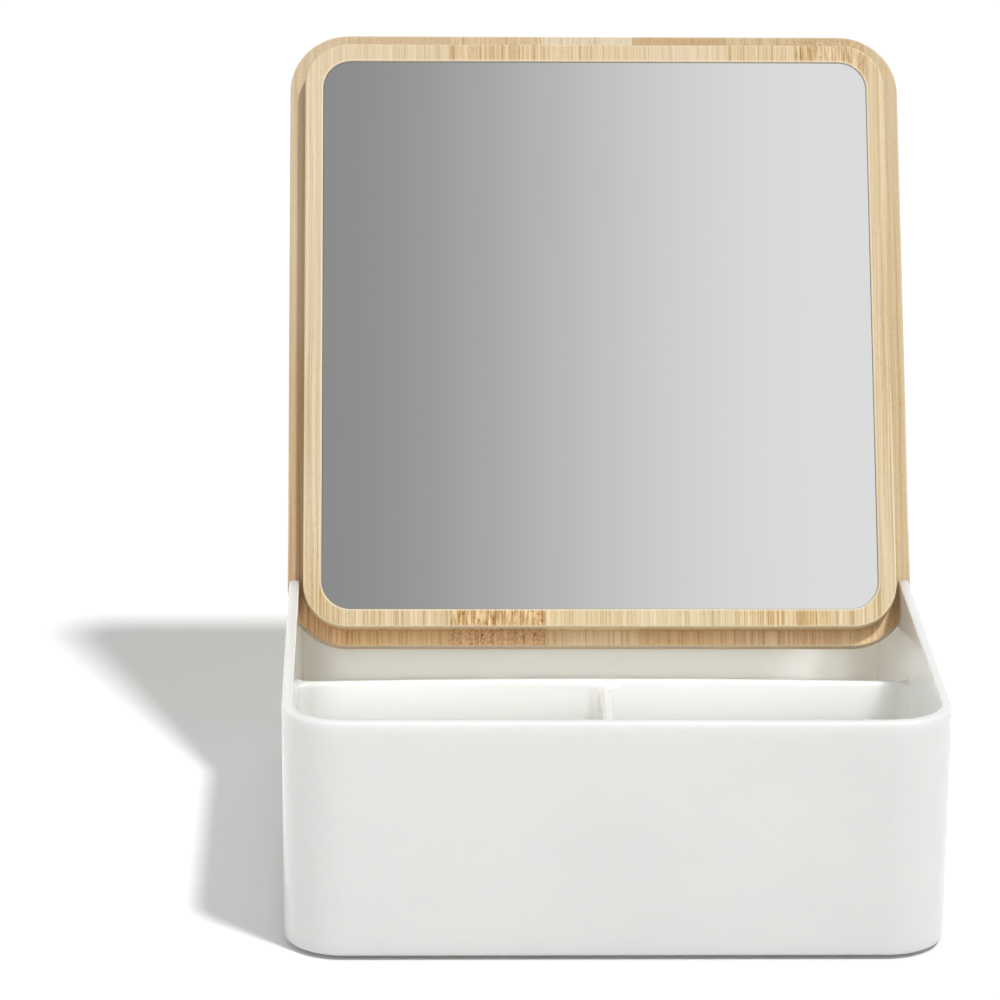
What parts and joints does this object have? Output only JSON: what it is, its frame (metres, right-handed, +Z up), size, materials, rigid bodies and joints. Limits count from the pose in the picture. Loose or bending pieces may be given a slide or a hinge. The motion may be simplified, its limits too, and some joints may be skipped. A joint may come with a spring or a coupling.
{
  "type": "vanity box with mirror lid",
  "caption": "White moulded tabletop box with divided compartments and slanted side slots that hold its lift-out bamboo lid upright as a mirror.",
  "frame": {"origin": "centre of the flat underside of the tub, on the surface it stands on", "axes": "+X to the user's right, +Y from the front to the back, +Z up; the mirror faces -Y and up"},
  "size_m": [0.1708, 0.2011, 0.199],
  "materials": {
    "tub_plastic": "white moulded plastic, satin to gloss",
    "bamboo": "pale bamboo strips with a clear satin varnish",
    "mirror": "silvered glass",
    "mounting_tape": "double-sided foam tape"
  },
  "bodies": {
    "tub": {"box_tub": "tub_plastic"},
    "lid": {"lid_stave_1": "bamboo", "lid_stave_2": "bamboo", "lid_stave_3": "bamboo", "lid_stave_4": "bamboo", "lid_stave_5": "bamboo", "lid_stave_6": "bamboo", "lid_stave_7": "bamboo", "mirror_glass": "mirror", "mirror_tape_left": "mounting_tape", "mirror_tape_centre": "mounting_tape", "mirror_tape_right": "mounting_tape"}
  },
  "joints": [
    {"name": "lid_lift", "type": "slide", "parent": "tub", "child": "lid", "axis": [0, 0.5075, 0.8616], "range_m": [0, 0.05]}
  ]
}
